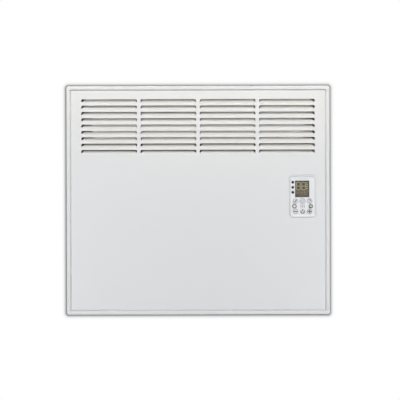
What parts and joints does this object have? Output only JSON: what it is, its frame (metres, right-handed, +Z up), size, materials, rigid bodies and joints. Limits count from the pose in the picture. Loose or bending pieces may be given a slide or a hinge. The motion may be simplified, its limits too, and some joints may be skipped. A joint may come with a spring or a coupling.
{
  "type": "wall panel convector heater",
  "caption": "White wall-hung panel convector heater with a pressed louvred front, a push-button display unit and a wall rail it lifts off.",
  "frame": {"origin": "centre of the wall rail's back face, on the wall", "axes": "+Z up, +X to the right as the heater is seen, -Y out of the wall towards the room"},
  "size_m": [0.518, 0.08, 0.4512],
  "materials": {
    "white_powder_coat": "satin white powder coat",
    "casing_powder_coat": "satin light grey-white powder coat",
    "zinc_sheet": "zinc-plated sheet steel",
    "bright_aluminium": "bright mill finish",
    "cast_aluminium": "dull extruded",
    "sheath_steel": "heat-tinted sheath",
    "ceramic_bush": "unglazed",
    "white_plastic": "satin moulded",
    "button_plastic": "satin moulded",
    "grey_plastic": "matt moulded",
    "black_plastic": "matt moulded",
    "smoked_window": "smoked clear window",
    "display_face": "dark liquid-crystal face",
    "dark_lens": "unlit lamp lens",
    "pale_lens": "translucent receiver lens",
    "board_green": "solder-masked board",
    "relay_case": "moulded case",
    "screw_steel": "zinc-plated"
  },
  "bodies": {
    "wall_rail": {"wall_rail": "zinc_sheet"},
    "heater": {"front_panel": "white_powder_coat", "rear_casing": "casing_powder_coat", "casing_screw_1": "screw_steel", "casing_screw_2": "screw_steel", "casing_screw_3": "screw_steel", "casing_screw_4": "screw_steel", "wall_spacer_left": "grey_plastic", "wall_spacer_right": "grey_plastic", "control_bezel": "white_plastic", "control_housing": "black_plastic", "display_board": "board_green", "display_window": "smoked_window", "display_module": "display_face", "status_lamp_1": "dark_lens", "status_lamp_2": "dark_lens", "status_lamp_3": "dark_lens", "receiver_lens": "pale_lens", "heat_shield": "bright_aluminium", "air_deflector": "bright_aluminium", "partition": "zinc_sheet", "element_fins": "cast_aluminium", "heating_rod": "sheath_steel", "element_bush_left": "ceramic_bush", "element_bush_right": "ceramic_bush", "element_stay_left": "zinc_sheet", "element_stay_right": "zinc_sheet", "overheat_cut_out": "black_plastic", "sensor_clip": "white_plastic", "room_sensor": "black_plastic", "board_carrier": "grey_plastic", "power_board": "board_green", "heat_relay": "relay_case", "board_transformer": "black_plastic", "terminal_block": "white_plastic", "cable_bush": "black_plastic", "switch_boost": "black_plastic", "switch_timer": "black_plastic", "switch_comfort": "black_plastic", "switch_clock": "black_plastic", "switch_minus": "black_plastic", "switch_power": "black_plastic", "switch_plus": "black_plastic"},
    "button_boost": {"button_boost": "button_plastic"},
    "button_timer": {"button_timer": "button_plastic"},
    "button_comfort": {"button_comfort": "button_plastic"},
    "button_clock": {"button_clock": "button_plastic"},
    "button_minus": {"button_minus": "button_plastic"},
    "button_power": {"button_power": "button_plastic"},
    "button_plus": {"button_plus": "button_plastic"}
  },
  "joints": [
    {"name": "lift_off", "type": "slide", "parent": "wall_rail", "child": "heater", "axis": [0, 0, 1], "range_m": [0, 0.0115]},
    {"name": "press_boost", "type": "slide", "parent": "heater", "child": "button_boost", "axis": [0, 1, 0], "range_m": [0, 0.0008], "stiffness_N_per_m": 2000},
    {"name": "press_timer", "type": "slide", "parent": "heater", "child": "button_timer", "axis": [0, 1, 0], "range_m": [0, 0.0008], "stiffness_N_per_m": 2000},
    {"name": "press_comfort", "type": "slide", "parent": "heater", "child": "button_comfort", "axis": [0, 1, 0], "range_m": [0, 0.0008], "stiffness_N_per_m": 2000},
    {"name": "press_clock", "type": "slide", "parent": "heater", "child": "button_clock", "axis": [0, 1, 0], "range_m": [0, 0.0008], "stiffness_N_per_m": 2000},
    {"name": "press_minus", "type": "slide", "parent": "heater", "child": "button_minus", "axis": [0, 1, 0], "range_m": [0, 0.0008], "stiffness_N_per_m": 2000},
    {"name": "press_power", "type": "slide", "parent": "heater", "child": "button_power", "axis": [0, 1, 0], "range_m": [0, 0.0008], "stiffness_N_per_m": 2000},
    {"name": "press_plus", "type": "slide", "parent": "heater", "child": "button_plus", "axis": [0, 1, 0], "range_m": [0, 0.0008], "stiffness_N_per_m": 2000}
  ]
}
